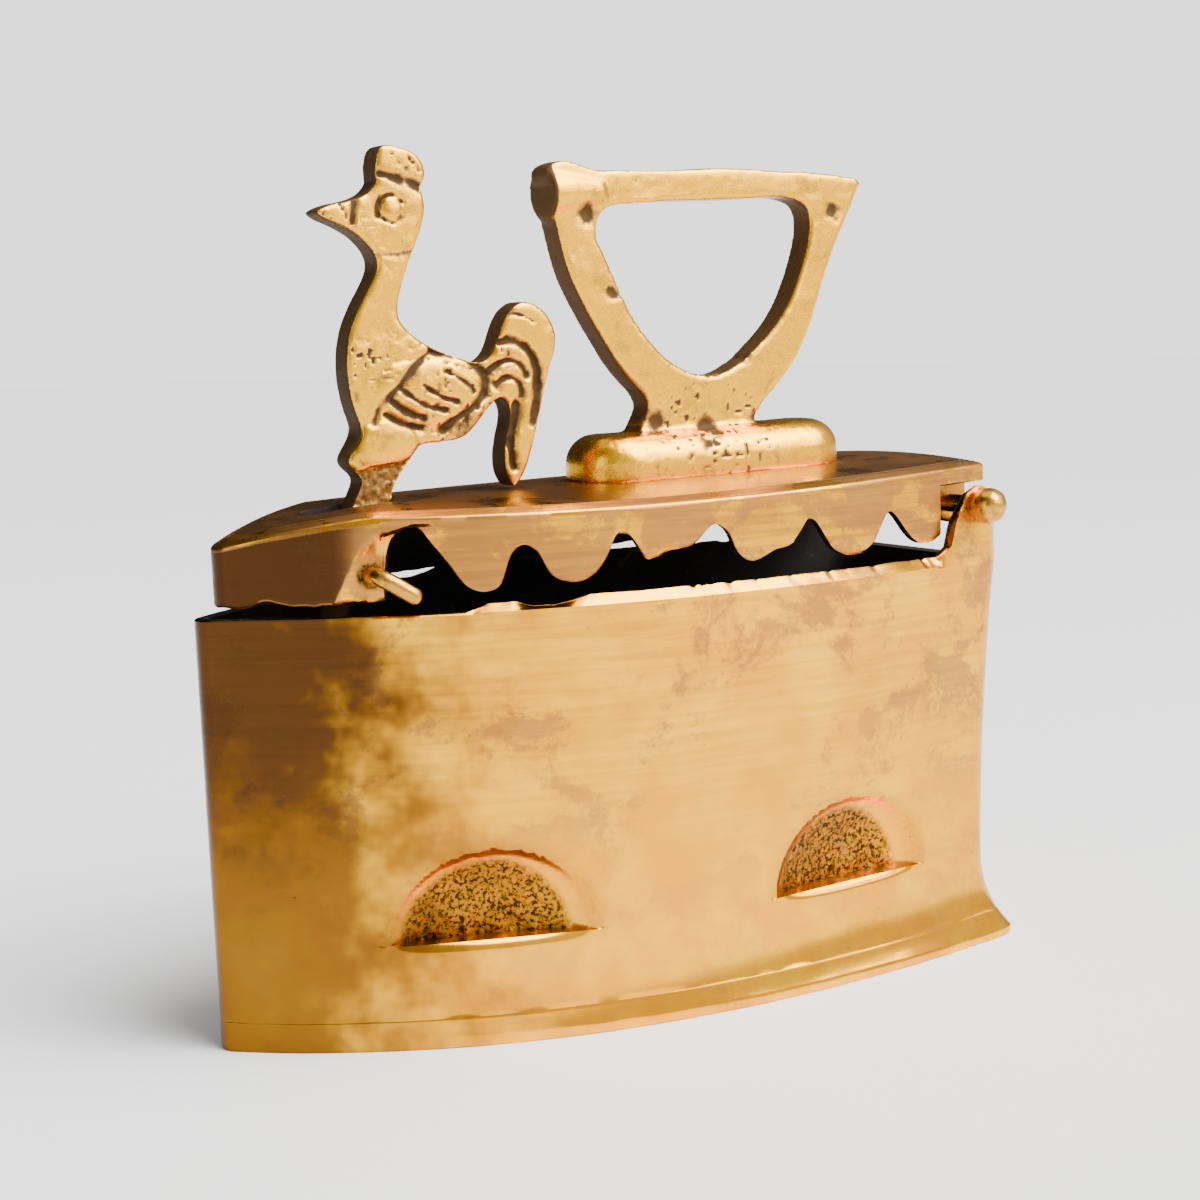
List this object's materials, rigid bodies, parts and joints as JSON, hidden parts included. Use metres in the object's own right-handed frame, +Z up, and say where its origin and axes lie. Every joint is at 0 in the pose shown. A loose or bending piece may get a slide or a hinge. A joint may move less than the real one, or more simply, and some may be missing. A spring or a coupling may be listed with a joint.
{
  "type": "charcoal iron",
  "caption": "Cast brass charcoal iron: boat-shaped fire box on a flat sole, hinged scalloped lid with loop handle, and a tilting cockerel latch.",
  "frame": {"origin": "middle of the flat sole face's length and width, on the face the iron stands on", "axes": "+Z up, -X towards the pointed nose, +X towards the hinge, +Y towards the side without the latch pin's bent tail"},
  "size_m": [0.2152, 0.0942, 0.207],
  "materials": {
    "cast_brass_box": "worn polished casting with brown tarnish",
    "cast_brass_lid": "worn polished casting with brown tarnish",
    "cast_brass_handle": "hand polished casting, dark in its hollows",
    "relief_brass": "chased relief, dark in its grooves and rough edges",
    "sole_brass": "ground and polished by use",
    "drawn_brass": "hammered rod",
    "sheet_iron": "sooty sheet iron",
    "soot_iron": "burnt iron, matt with soot and ash"
  },
  "bodies": {
    "box": {"body_shell": "cast_brass_box", "sole_plate": "sole_brass", "sole_rivets": "soot_iron", "latch_keeper": "drawn_brass", "hinge_pin": "drawn_brass"},
    "lid_group": {"lid": "cast_brass_lid", "handle": "cast_brass_handle", "handle_rivet_front": "sheet_iron", "handle_rivet_rear": "sheet_iron", "rivet_washer_front": "sheet_iron", "rivet_washer_rear": "sheet_iron", "shield_spacer_front": "sheet_iron", "shield_spacer_rear": "sheet_iron", "heat_shield": "sheet_iron", "latch_pin": "drawn_brass"},
    "cockerel_latch": {"cockerel": "relief_brass"},
    "grate": {"fire_grate": "soot_iron", "grate_foot_nose_left": "soot_iron", "grate_foot_nose_right": "soot_iron", "grate_foot_rear_left": "soot_iron", "grate_foot_rear_right": "soot_iron"}
  },
  "joints": [
    {"name": "lid_hinge", "type": "hinge", "parent": "box", "child": "lid_group", "pos_m": [0.0956, 0, 0.1155], "axis": [0, 1, 0], "range_deg": [0, 83]},
    {"name": "cockerel_tilt", "type": "hinge", "parent": "lid_group", "child": "cockerel_latch", "pos_m": [-0.07342, 0, 0.11], "axis": [0, -1, 0], "range_deg": [0, 30]},
    {"name": "grate_lift", "type": "slide", "parent": "box", "child": "grate", "axis": [0, 0, 1], "range_m": [0, 0.04]}
  ]
}
